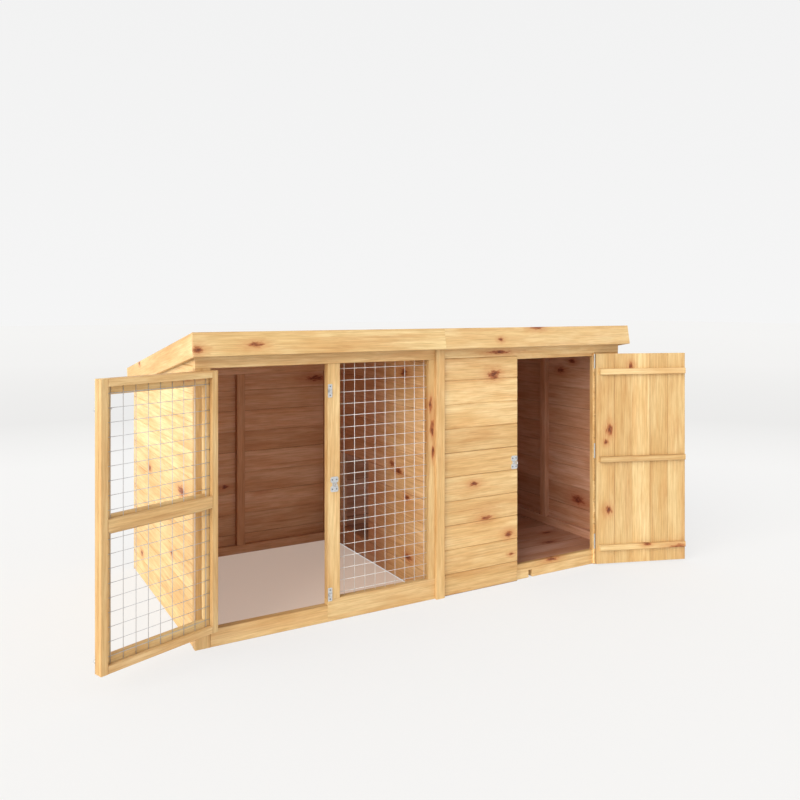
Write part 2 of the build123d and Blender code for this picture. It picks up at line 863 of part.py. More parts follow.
def staple_plate(place):
    """The four-hole plate that carries a turning staple."""
    lobe_width, lobe_height = staple_lobe_size
    with BuildSketch(upright(house, -staple_plate_thickness / 2)) as outline:
        with Locations((place, staple_level)):
            Rectangle(staple_waist_width, 2 * staple_lobe_spread)
        with Locations(
            (place, staple_level - staple_lobe_spread), (place, staple_level + staple_lobe_spread)
        ):
            RectangleRounded(lobe_width, lobe_height, 8)
        with Locations((place, staple_level)):
            Circle(swivel_neck_radius + pin_clearance, mode=Mode.SUBTRACT)
        with Locations(*staple_screw_places(place)):
            Circle(screw_shank_radius + 2 * screw_clearance, mode=Mode.SUBTRACT)
    extrude(outline.sketch, amount=staple_plate_thickness / 2, both=True)


with BuildPart() as staple_plates:
    staple_plate(run_staple_place)
    staple_plate(kennel_staple_place)
finish(staple_plates, "staple_plates")


def swivel(name, place):
    """A turning staple: riveted neck and an upright blade with an eye for a padlock."""
    blade_round = swivel_blade_height / 2
    blade_centre = -swivel_reach + blade_round
    side_view = Plane(
        house.from_local_coords((place, 0, staple_level)), house.y_dir, house.x_dir
    )
    with BuildPart() as piece:
        with BuildSketch(side_view) as blade:
            with Locations((blade_centre, 0)):
                Circle(blade_round)
            with Locations(((blade_centre - swivel_neck_end) / 2, 0)):
                Rectangle(-blade_centre - swivel_neck_end, swivel_blade_height)
            with Locations((blade_centre + 1, 0)):
                Circle(swivel_eye_radius, mode=Mode.SUBTRACT)
        extrude(blade.sketch, amount=swivel_blade_thickness / 2, both=True)
        with BuildSketch(upright(house, swivel_tail_thickness)) as neck:
            with Locations((place, staple_level)):
                Circle(swivel_neck_radius)
        extrude(neck.sketch, amount=swivel_tail_thickness + swivel_neck_end + 1)
        with BuildSketch(upright(house, swivel_tail_thickness + groove_clearance)) as tail:
            with Locations((place, staple_level)):
                Circle(swivel_tail_radius)
        extrude(tail.sketch, amount=swivel_tail_thickness)
    finish(piece, name)


swivel("run_swivel", run_staple_place)
swivel("kennel_swivel", kennel_staple_place)


def hasp_leaf(name, door, inside, axis):
    """The hasp's fixed leaf on a door, with its two outer knuckles and its pin."""
    face = inside * hinge_axis_offset
    outer = face - inside * leaf_thickness
    row = hasp_leaf_height / 3
    low = staple_level - hasp_leaf_height / 2
    with BuildPart() as leaf:
        plate(
            door, face, outer, (axis - leaf_start - hasp_leaf_width, axis - leaf_start),
            (low, low + hasp_leaf_height), 3,
        )
        for start in (low, low + 2 * row):
            with BuildSketch(door.offset(start)) as knuckle:
                with Locations((axis, 0)):
                    Circle(hasp_knuckle_radius)
                with Locations((axis - (leaf_start + 1) / 2, (face + outer) / 2)):
                    Rectangle(leaf_start + 1, leaf_thickness)
            extrude(knuckle.sketch, amount=row)
        with BuildSketch(door.offset(low - 1)) as bore:
            with Locations((axis, 0)):
                Circle(pin_radius + pin_clearance)
        extrude(bore.sketch, amount=hasp_leaf_height + 2, mode=Mode.SUBTRACT)
        drill(
            door, inside, outer, hasp_screw_places(axis),
            screw_shank_radius + 2 * screw_clearance, leaf_thickness,
        )
        with BuildSketch(door.offset(low)) as pin:
            with Locations((axis, 0)):
                Circle(pin_radius)
        extrude(pin.sketch, amount=hasp_leaf_height)
    finish(leaf, name)


hasp_leaf("run_hasp_leaf", run_door, inside_of_run_door, run_hasp_axis)
hasp_leaf("kennel_hasp_leaf", kennel_door, inside_of_kennel_door, kennel_hasp_axis)


def hasp_strap(name, door, inside, axis):
    """The slotted strap, folded back over its leaf while the door stands open."""
    strap_plane = turned(door, (axis, 0, 0), -inside * hasp_folded)
    half_height = hasp_height / 2
    end = hasp_length + hasp_overrun
    knuckle_row = hasp_leaf_height / 3 - 2 * knuckle_gap
    with BuildPart() as strap:
        with BuildSketch(upright(strap_plane, 0)) as outline:
            with Locations((end / 2, staple_level)):
                Rectangle(end, hasp_height)
            fillet(outline.vertices().group_by(Axis.X)[-1], half_height - 1)
            with Locations((leaf_start / 2, staple_level)):
                Rectangle(leaf_start + 4, hasp_height + 1, mode=Mode.SUBTRACT)
            with Locations((leaf_start, staple_level)):
                Rectangle(2 * leaf_start, knuckle_row)
            with Locations((hasp_length, staple_level)):
                RectangleRounded(*hasp_slot, 2, mode=Mode.SUBTRACT)
        extrude(outline.sketch, amount=hasp_thickness / 2, both=True)
        with BuildSketch(strap_plane.offset(staple_level - knuckle_row / 2)) as knuckle:
            Circle(hasp_knuckle_radius)
        extrude(knuckle.sketch, amount=knuckle_row)
        with BuildSketch(strap_plane.offset(staple_level - hasp_height)) as bore:
            Circle(pin_radius + pin_clearance)
        extrude(bore.sketch, amount=2 * hasp_height, mode=Mode.SUBTRACT)
    finish(strap, name)


hasp_strap("run_hasp_strap", run_door, inside_of_run_door, run_hasp_axis)
hasp_strap("kennel_hasp_strap", kennel_door, inside_of_kennel_door, kennel_hasp_axis)

# Tower bolts on the run door and their keeps on the middle post
bolt_axis = inside_of_run_door * (hinge_axis_offset - bolt_axis_height)


def bridge(place, face, across, level, half_height, bore):
    """A bridge over a bolt, standing on a plate and bored along local X."""
    outer_radius = half_height
    section = Plane(place.from_local_coords((across[0], 0, level)), place.y_dir, place.x_dir)
    centre = face - bolt_axis_height
    with BuildSketch(section) as outline:
        with Locations((centre, 0)):
            Circle(outer_radius)
        with Locations(((centre + face) / 2 - leaf_thickness / 2, 0)):
            Rectangle(bolt_axis_height - leaf_thickness, 2 * outer_radius)
        with Locations((centre, 0)):
            Circle(bore, mode=Mode.SUBTRACT)
    extrude(outline.sketch, amount=across[1] - across[0])


with BuildPart() as bolt_bases:
    for level in bolt_levels:
        plate(
            run_door, run_faces[0], run_faces[0] - leaf_thickness, bolt_plate_reach,
            (level - bolt_plate_height / 2, level + bolt_plate_height / 2), 3,
        )
        for guide in bolt_guides:
            bridge(
                run_door, run_faces[0], guide, level, bolt_guide_height / 2,
                bolt_radius + bolt_bore_clearance,
            )
    drill(
        run_door, inside_of_run_door, run_faces[0] - leaf_thickness, bolt_screws,
        screw_shank_radius + 2 * screw_clearance, leaf_thickness,
    )
finish(bolt_bases, "bolt_bases")

with BuildPart() as bolt_keeps:
    for level in bolt_levels:
        plate(house, 0, -leaf_thickness, keep_place, (level - keep_height / 2, level + keep_height / 2), 3)
        bridge(house, 0, keep_bridge, level, bolt_guide_height / 2, bolt_radius + keep_bore_clearance)
    drill(
        house, inside_of_house, -leaf_thickness, keep_screws,
        screw_shank_radius + 2 * screw_clearance, leaf_thickness,
    )
finish(bolt_keeps, "bolt_keeps")


def bolt_rod(name, level):
    """A sliding bolt with a knob to move it by."""
    rod_section = Plane(
        run_door.from_local_coords((bolt_rod_reach[0], bolt_axis, level)),
        run_door.y_dir, run_door.x_dir,
    )
    with BuildPart() as rod:
        with BuildSketch(rod_section) as outline:
            Circle(bolt_radius)
        extrude(outline.sketch, amount=bolt_rod_reach[1] - bolt_rod_reach[0])
        chamfer(rod.edges().filter_by(GeomType.CIRCLE), length=1)
        with BuildSketch(upright(run_door, bolt_axis)) as knob:
            with Locations((bolt_knob_place, level)):
                Circle(bolt_knob_radius)
        extrude(knob.sketch, amount=bolt_knob_length)
    finish(rod, name)


bolt_rod("lower_bolt_rod", bolt_levels[0])
bolt_rod("upper_bolt_rod", bolt_levels[1])

# Screws of all the hardware, grouped by what they are driven into
leaf_surface = hinge_axis_offset - leaf_thickness

with BuildPart() as house_screws:
    screws(run_axis, inside_of_run_door, leaf_surface, run_post_hinge_screws)
    screws(kennel_axis, inside_of_kennel_door, -leaf_surface, kennel_post_hinge_screws)
    screws(house, inside_of_house, -leaf_thickness, keep_screws)
    screws(house, inside_of_house, -staple_plate_thickness, run_staple_screws + kennel_staple_screws)
finish(house_screws, "house_screws")

with BuildPart() as run_door_screws:
    screws(
        run_door, inside_of_run_door, leaf_surface,
        run_door_hinge_screws + run_hasp_screws + bolt_screws,
    )
finish(run_door_screws, "run_door_screws")

with BuildPart() as kennel_door_screws:
    screws(
        kennel_door, inside_of_kennel_door, -leaf_surface,
        kennel_door_hinge_screws + kennel_hasp_screws,
    )
finish(kennel_door_screws, "kennel_door_screws")
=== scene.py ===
import json
import math
import random

import bmesh
import bpy
import numpy as np
from mathutils import Matrix, Vector

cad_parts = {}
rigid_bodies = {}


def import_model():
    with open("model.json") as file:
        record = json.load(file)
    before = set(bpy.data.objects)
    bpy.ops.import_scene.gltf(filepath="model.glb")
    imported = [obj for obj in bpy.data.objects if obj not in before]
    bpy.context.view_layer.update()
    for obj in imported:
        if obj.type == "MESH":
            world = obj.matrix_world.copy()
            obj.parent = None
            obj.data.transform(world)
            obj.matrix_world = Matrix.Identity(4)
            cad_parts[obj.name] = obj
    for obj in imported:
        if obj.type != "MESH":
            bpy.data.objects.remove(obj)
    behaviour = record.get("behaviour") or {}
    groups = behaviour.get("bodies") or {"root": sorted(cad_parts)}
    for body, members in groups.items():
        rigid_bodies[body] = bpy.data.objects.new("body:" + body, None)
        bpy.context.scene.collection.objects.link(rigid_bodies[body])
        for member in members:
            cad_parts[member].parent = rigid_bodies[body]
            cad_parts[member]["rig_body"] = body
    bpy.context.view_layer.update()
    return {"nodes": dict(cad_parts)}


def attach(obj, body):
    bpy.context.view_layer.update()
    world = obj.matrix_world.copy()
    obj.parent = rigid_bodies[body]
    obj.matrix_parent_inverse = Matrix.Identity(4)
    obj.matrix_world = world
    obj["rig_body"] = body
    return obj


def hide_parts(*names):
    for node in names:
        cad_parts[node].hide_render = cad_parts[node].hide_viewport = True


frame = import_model()
nodes = frame["nodes"]
print("stage: frame loaded with", len(nodes), "nodes")

houseCorner = Vector((-1.115, -0.56, 0))  # front left foot of the walls

# Doors: where each one's own axes lie at rest, so that its grain can follow its boards
doorFrames = {
    "run_door": {"axis": (-1.0505, -0.5636), "degrees": -159},  # hinge axis and opening
    "kennel_door": {"axis": (0.946, -0.5636), "degrees": -20},
}


def doorMatrix(body):  # from a door's own axes to the row frame
    place = doorFrames[body]
    turn = Matrix.Rotation(math.radians(place["degrees"]), 4, "Z")
    return Matrix.Translation((*place["axis"], 0)) @ turn


# Grain: each board carries its own coordinates along and across its length, and its own tone
woodNodes = [
    "run_corner_post", "run_door_sill", "mesh_panel_bottom_rail", "run_mid_post", "mesh_panel_stile",
    "run_top_rail", "left_wall_boards", "right_wall_boards", "run_back_boards", "kennel_back_boards",
    "left_wall_frame", "right_wall_frame", "run_back_frame", "kennel_back_frame", "partition_boards",
    "partition_frame", "kennel_front_boards_left", "kennel_front_boards_right", "kennel_head_board",
    "kennel_front_frame", "kennel_sill", "cover_batten", "floor_bearers", "floor_boards",
    "roof_sheet_left", "roof_sheet_right", "roof_battens", "front_fascia_left", "front_fascia_right",
    "rear_fascia", "left_bargeboard", "right_bargeboard", "run_door_stiles", "run_door_rails",
    "run_door_strips", "kennel_door_boards", "kennel_door_ledges",
]

# Tones of the boards of some pieces, lowest or leftmost first: 0 is palest, 1 is darkest
toneBook = {
    "kennel_front_boards_left": [0.95, 0.6, 0.3, 0.7, 0.6, 0.6, 0.9, 0.25, 0.0, 0.3],
    # left wall: besides each board's own tone, the upper boards' pale tones are painted sunlight and the
    # lower boards' dark tones painted shade
    "left_wall_boards": [0.7, 0.85, 0.7, 0.8, 0.6, 0.65, 0.0, 0.1, 0.0, 0.15, 0.2],
    "partition_boards": [
        0.9, 0.9, 0.75, 0.75, 0.85, 0.8, 0.7, 0.7, 0.5, 0.4, 0.2, 0.1, 0.15, 0.2, 0.1, 0.1,
    ],
    "kennel_door_boards": [0.55, 0.7, 0.05, 0.75, 0.6],
}

grainSettings = {
    "weldSteps": 2e5,
    "roofSlope": 10,
    "alongShift": 40,
    "acrossShift": 0.09,
    "pithShift": (0.02, 0.09),
}


def boardLabels(mesh, points):  # a number for each vertex that says which separate board it belongs to
    steps = np.round(points * grainSettings["weldSteps"]).astype(np.int64)
    weld = np.unique(steps, axis=0, return_inverse=True)[1].ravel()
    edges = np.zeros(len(mesh.edges) * 2, np.int32)
    mesh.edges.foreach_get("vertices", edges)
    ends = weld[edges.reshape(-1, 2)]
    label = np.arange(weld.max() + 1)
    while True:
        lowest = np.minimum(label[ends[:, 0]], label[ends[:, 1]])
        new = label.copy()
        np.minimum.at(new, ends[:, 0], lowest)
        np.minimum.at(new, ends[:, 1], lowest)
        new = new[new]
        if np.array_equal(new, label):
            break
        label = new
    return np.unique(label[weld], return_inverse=True)[1].ravel()


def giveGrain(name):  # write the grain coordinates and the tone of each board of a wooden node
    item = nodes[name]
    mesh = item.data
    points = np.zeros(len(mesh.vertices) * 3, np.float32)
    mesh.vertices.foreach_get("co", points)
    points = points.reshape(-1, 3).astype(float)
    local = points
    if item["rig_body"] in doorFrames:
        back = np.array(doorMatrix(item["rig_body"]).inverted())
        local = points @ back[:3, :3].T + back[:3, 3]
    elif "fascia" in name or "bargeboard" in name or "roof" in name:
        back = np.array(Matrix.Rotation(math.radians(grainSettings["roofSlope"]), 4, "X"))
        local = points @ back[:3, :3].T
    labels = boardLabels(mesh, points)
    grain = np.zeros_like(local)
    edge = np.zeros_like(local)
    tone = np.zeros(len(local))
    chance = random.Random(name)
    along = 0 if name == "kennel_door_boards" else 2
    heights = [local[labels == board, along].mean() for board in range(labels.max() + 1)]
    ranks = np.argsort(np.argsort(heights))
    book = toneBook.get(name)
    for board in range(labels.max() + 1):
        mine = labels == board
        low, high = local[mine].min(0), local[mine].max(0)
        order = list(np.argsort(low - high))
        middle = (low + high) / 2
        edge[mine, 0] = (local[mine] - middle)[:, order[1]]
        edge[mine, 1] = (high - low)[order[1]] / 2
        shift = np.array([
            chance.uniform(0, grainSettings["alongShift"]),
            chance.uniform(-grainSettings["acrossShift"], grainSettings["acrossShift"]),
            chance.choice([-1, 1]) * chance.uniform(*grainSettings["pithShift"]),
        ])
        grain[mine] = (local[mine] - middle)[:, order] + shift
        tone[mine] = book[min(ranks[board], len(book) - 1)] if book else chance.random()
    for label, kind, key, values in (
        ("grain", "FLOAT_VECTOR", "vector", grain), ("edge", "FLOAT_VECTOR", "vector", edge),
        ("tone", "FLOAT", "value", tone),
    ):
        layer = mesh.attributes.new(label, kind, "POINT")
        layer.data.foreach_set(key, values.astype(np.float32).ravel())


for name in woodNodes:
    giveGrain(name)
print("stage: grain directions written")


# Shader helpers
def newNode(tree, kind, **values):  # add a node and set its properties and the named inputs
    made = tree.nodes.new(kind)
    for key, value in values.items():
        if hasattr(made, key):
            setattr(made, key, value)
        else:
            made.inputs[key.replace("_", " ")].default_value = value
    return made


def mathNode(tree, operation, first, second=0.0):  # a Math node fed by sockets or numbers
    made = tree.nodes.new("ShaderNodeMath")
    made.operation = operation
    for socket, value in zip(made.inputs, (first, second)):
        if isinstance(value, (int, float)):
            socket.default_value = value
        else:
            tree.links.new(value, socket)
    return made.outputs[0]


def mixColour(tree, factor, first, second, blend="MIX"):  # a colour Mix node fed by sockets or colours
    made = tree.nodes.new("ShaderNodeMix")
    made.data_type = "RGBA"
    made.blend_type = blend
    for socket, value in ((made.inputs[0], factor), (made.inputs[6], first), (made.inputs[7], second)):
        if isinstance(value, (int, float, tuple)):
            socket.default_value = value
        else:
            tree.links.new(value, socket)
    return made.outputs[2]


def rampNode(tree, factor, stops):  # a colour ramp from (place, colour) pairs
    made = tree.nodes.new("ShaderNodeValToRGB")
    ramp = made.color_ramp
    while len(ramp.elements) < len(stops):
        ramp.elements.new(0.5)
    for element, (place, colour) in zip(ramp.elements, stops):
        element.position = place
        element.color = colour
    tree.links.new(factor, made.inputs[0])
    return made.outputs[0]


def smoothStep(tree, value, low, high):  # 0 below low, 1 above high, eased between
    made = tree.nodes.new("ShaderNodeMapRange")
    made.interpolation_type = "SMOOTHSTEP"
    tree.links.new(value, made.inputs["Value"])
    for key, limit in (("From Min", low), ("From Max", high)):
        if isinstance(limit, (int, float)):
            made.inputs[key].default_value = limit
        else:
            tree.links.new(limit, made.inputs[key])
    return made.outputs["Result"]


def directRays(tree):  # 1 for rays that see the backdrop itself: from the camera, a mirror or glass
    rays = tree.nodes.new("ShaderNodeLightPath")
    seen = mathNode(tree, "MAXIMUM", rays.outputs["Is Camera Ray"], rays.outputs["Is Glossy Ray"])
    return mathNode(tree, "MAXIMUM", seen, rays.outputs["Is Transmission Ray"])


def newGroup(name, inputs, outputs):  # an empty shader group with its sockets, and its start and end
    tree = bpy.data.node_groups.new(name, "ShaderNodeTree")
    for way, sockets in (("INPUT", inputs), ("OUTPUT", outputs)):
        for socket, kind in sockets:
            tree.interface.new_socket(socket, in_out=way, socket_type="NodeSocket" + kind)
    return tree, tree.nodes.new("NodeGroupInput"), tree.nodes.new("NodeGroupOutput")


# Pine: growth rings, fibres, blotches and knots, shared by every timber
pineSettings = {
    "fibreScale": (9, 230, 230),
    "streakScale": (2.0, 60, 40),
    "blotchScale": (2.6, 13, 8),
    "cloudScale": (1.1, 4.5, 3.0),
    "mottleScale": (7, 95, 60),
    "amberScale": (3.4, 21, 14),
    "raggedScale": (38, 130, 130),
    "crackScale": (60, 190, 190),
    "noKnot": 99.0,
    "ringScale": 15.0,
    "ringStretch": 0.045,
    "ringDistortion": 5.0,
    "knotLength": 2.6,
    "knotWidth": 7.0,
    "knotShare": 0.91,
    "knotSize": 0.12,
    "lightWood": (0.76, 0.515, 0.24, 1),
    "darkWood": (0.56, 0.275, 0.10, 1),
    "amberWood": (0.66, 0.35, 0.125, 1),
    "palestWood": (0.86, 0.655, 0.355, 1),
    "reddishWood": (0.56, 0.22, 0.075, 1),
    "knotEdge": (0.42, 0.125, 0.038, 1),
    "knotCore": (0.15, 0.038, 0.016, 1),
    "jointShade": (0.36, 0.22, 0.13, 1),
    "jointWidth": 0.0048,
    "bumpStrength": 0.25,
    "bumpHeight": 0.0006,
    "shine": 0.35,
}


# the shared group: grain coordinates, tone and the nearest knot in; colour, height and shine out
def makePine():
    pine = pineSettings
    tree, start, end = newGroup(
        "pineWood", [("Grain", "Vector"), ("Tone", "Float"), ("Knot", "Float")],
        [("Colour", "Color"), ("Height", "Float"), ("Roughness", "Float")],
    )
    grain, tone = start.outputs["Grain"], start.outputs["Tone"]

    def mapped(scale):
        made = tree.nodes.new("ShaderNodeMapping")
        made.inputs["Scale"].default_value = scale
        tree.links.new(grain, made.inputs["Vector"])
        return made.outputs[0]

    def noise(scale, detail):
        made = newNode(tree, "ShaderNodeTexNoise", Scale=1.0, Detail=detail, Roughness=0.6)
        tree.links.new(mapped(scale), made.inputs["Vector"])
        return made.outputs["Fac"]

    # knots: sparse oval cells, and the ones that a material places itself
    ragged = noise(pine["raggedScale"], 3.0)
    cells = newNode(tree, "ShaderNodeTexVoronoi", Scale=1.0, Randomness=0.9)
    tree.links.new(mapped((pine["knotLength"], pine["knotWidth"], 1.2)), cells.inputs["Vector"])
    pick = tree.nodes.new("ShaderNodeSeparateColor")
    tree.links.new(cells.outputs["Color"], pick.inputs[0])
    bare = mathNode(tree, "LESS_THAN", pick.outputs[0], pine["knotShare"])
    skipped = mathNode(tree, "MULTIPLY", bare, 9.0)
    size = mathNode(tree, "ADD", mathNode(tree, "MULTIPLY", pick.outputs[1], pine["knotSize"]), 0.03)
    ratio = mathNode(tree, "ADD", mathNode(tree, "DIVIDE", cells.outputs["Distance"], size), skipped)
    ratio = mathNode(tree, "MINIMUM", ratio, start.outputs["Knot"])
    wobble = mathNode(tree, "MULTIPLY", mathNode(tree, "SUBTRACT", ragged, 0.5), 2.4)
    ratio = mathNode(tree, "ADD", ratio, wobble)
    knotCore = mathNode(tree, "SUBTRACT", 1.0, smoothStep(tree, ratio, 0.1, 0.95))
    knotEdge = mathNode(tree, "SUBTRACT", 1.0, smoothStep(tree, ratio, 0.55, 1.35))
    knotHalo = mathNode(tree, "SUBTRACT", 1.0, smoothStep(tree, ratio, 0.8, 3.4))

    # growth rings round an axis beside the board, bent round the knots
    bend = tree.nodes.new("ShaderNodeCombineXYZ")
    tree.links.new(mathNode(tree, "MULTIPLY", knotHalo, 0.02), bend.inputs[1])
    moved = tree.nodes.new("ShaderNodeVectorMath")
    tree.links.new(mapped((pine["ringStretch"], 1, 1)), moved.inputs[0])
    tree.links.new(bend.outputs[0], moved.inputs[1])
    rings = newNode(
        tree, "ShaderNodeTexWave", wave_type="RINGS", rings_direction="X", wave_profile="SIN",
        Scale=pine["ringScale"], Distortion=pine["ringDistortion"], Detail=3.0, Detail_Scale=1.1,
        Detail_Roughness=0.6,
    )
    tree.links.new(moved.outputs[0], rings.inputs["Vector"])
    late = smoothStep(tree, rings.outputs["Fac"], 0.4, 1.0)
    fibres = noise(pine["fibreScale"], 4.0)
    streaks = noise(pine["streakScale"], 5.0)
    blotches = noise(pine["blotchScale"], 4.0)
    clouds = noise(pine["cloudScale"], 2.0)
    mottle = noise(pine["mottleScale"], 5.0)

    early = mixColour(tree, smoothStep(tree, blotches, 0.36, 0.66), pine["lightWood"], pine["palestWood"])
    amberPatches = smoothStep(tree, noise(pine["amberScale"], 5.0), 0.46, 0.68)
    amber = mathNode(tree, "MULTIPLY", amberPatches, 0.42)
    early = mixColour(tree, amber, early, pine["amberWood"])
    redness = mathNode(tree, "MULTIPLY", smoothStep(tree, clouds, 0.48, 0.72), 0.13)
    early = mixColour(tree, redness, early, pine["reddishWood"])
    lateShare = mathNode(tree, "MULTIPLY", smoothStep(tree, streaks, 0.3, 0.75), 0.34)
    depth = mathNode(tree, "MULTIPLY", late, lateShare)
    colour = mixColour(tree, depth, early, pine["darkWood"])
    darkStreaks = mathNode(tree, "MULTIPLY", smoothStep(tree, streaks, 0.56, 0.74), 0.20)
    colour = mixColour(tree, darkStreaks, colour, pine["darkWood"])
    fibreShade = rampNode(tree, fibres, [(0.36, (0.83, 0.78, 0.71, 1)), (0.56, (1.02, 1.02, 1.02, 1))])
    colour = mixColour(tree, 0.8, colour, fibreShade, "MULTIPLY")
    mottleShade = rampNode(tree, mottle, [(0.34, (0.91, 0.87, 0.81, 1)), (0.6, (1.03, 1.03, 1.03, 1))])
    colour = mixColour(tree, 0.9, colour, mottleShade, "MULTIPLY")
    toneShade = rampNode(tree, tone, [(0.0, (1.07, 1.08, 1.09, 1)), (1.0, (0.88, 0.83, 0.76, 1))])
    colour = mixColour(tree, 1.0, colour, toneShade, "MULTIPLY")
    cracks = smoothStep(tree, noise(pine["crackScale"], 4.0), 0.32, 0.52)
    colour = mixColour(tree, mathNode(tree, "MULTIPLY", knotHalo, 0.50), colour, pine["reddishWood"])
    colour = mixColour(tree, mathNode(tree, "MULTIPLY", knotEdge, 0.92), colour, pine["knotEdge"])
    colour = mixColour(tree, mathNode(tree, "MULTIPLY", knotCore, cracks), colour, pine["knotCore"])
    tree.links.new(colour, end.inputs["Colour"])

    ridges = mathNode(tree, "MULTIPLY", late, 0.3)
    height = mathNode(tree, "ADD", mathNode(tree, "MULTIPLY", fibres, 0.5), ridges)
    tree.links.new(height, end.inputs["Height"])
    rough = mathNode(tree, "ADD", mathNode(tree, "MULTIPLY", fibres, 0.16), 0.46)
    tree.links.new(rough, end.inputs["Roughness"])
    return tree


# how many knot radii a place is from one knot: position, centre and one over its radii in
def makeKnotGroup():
    tree, start, end = newGroup(
        "knotDistance",
        [("Position", "Vector"), ("Centre", "Vector"), ("Reach", "Vector"), ("Before", "Float")],
        [("Nearest", "Float")],
    )
    apart = newNode(tree, "ShaderNodeVectorMath", operation="SUBTRACT")
    tree.links.new(start.outputs["Position"], apart.inputs[0])
    tree.links.new(start.outputs["Centre"], apart.inputs[1])
    scaled = newNode(tree, "ShaderNodeVectorMath", operation="MULTIPLY")
    tree.links.new(apart.outputs[0], scaled.inputs[0])
    tree.links.new(start.outputs["Reach"], scaled.inputs[1])
    length = newNode(tree, "ShaderNodeVectorMath", operation="LENGTH")
    tree.links.new(scaled.outputs[0], length.inputs[0])
    nearest = mathNode(tree, "MINIMUM", length.outputs["Value"], start.outputs["Before"])
    tree.links.new(nearest, end.inputs[0])
    return tree


# the painted light and shade of one piece: one tint, a painted shade on faces that look indoors, and a
# darker painted shade deeper inside
def makeLightAndShadeGroup():
    tree, start, end = newGroup(
        "paintedLightAndShade",
        [("Position", "Vector"), ("Normal", "Vector"), ("Outward", "Vector"), ("Outdoors", "Color"),
         ("IndoorShade", "Color"), ("DeepShade", "Color"), ("Near", "Float"), ("Far", "Float")],
        [("Colour", "Color")],
    )
    parts = tree.nodes.new("ShaderNodeSeparateXYZ")
    tree.links.new(start.outputs["Position"], parts.inputs[0])
    deepShadeShare = smoothStep(tree, parts.outputs[1], start.outputs["Near"], start.outputs["Far"])
    outdoors = mixColour(tree, deepShadeShare, start.outputs["Outdoors"], start.outputs["DeepShade"])
    facing = newNode(tree, "ShaderNodeVectorMath", operation="DOT_PRODUCT")
    tree.links.new(start.outputs["Normal"], facing.inputs[0])
    tree.links.new(start.outputs["Outward"], facing.inputs[1])
    outside = mathNode(tree, "GREATER_THAN", facing.outputs["Value"], -0.5)
    tree.links.new(mixColour(tree, outside, start.outputs["IndoorShade"], outdoors), end.inputs[0])
    return tree


def makeJointShadowGroup():  # painted shadow in the groove beside a board's edge: more on darker boards
    tree, start, end = newGroup(
        "jointGrooveShadow", [("Edge", "Vector"), ("Tone", "Float"), ("Strength", "Float"), ("Width", "Float")],
        [("Mask", "Float")],
    )
    parts = tree.nodes.new("ShaderNodeSeparateXYZ")
    tree.links.new(start.outputs["Edge"], parts.inputs[0])
    inset = mathNode(tree, "SUBTRACT", parts.outputs[1], mathNode(tree, "ABSOLUTE", parts.outputs[0]))
    groove = mathNode(tree, "SUBTRACT", 1.0, smoothStep(tree, inset, 0.0, start.outputs["Width"]))
    force = mathNode(tree, "ADD", start.outputs["Tone"], 0.45)
    force = mathNode(tree, "MULTIPLY", force, start.outputs["Strength"])
    tree.links.new(mathNode(tree, "MULTIPLY", groove, force), end.inputs[0])
    return tree


pineGroup = makePine()
knotGroup = makeKnotGroup()
lightAndShadeGroup = makeLightAndShadeGroup()
jointShadowGroup = makeJointShadowGroup()


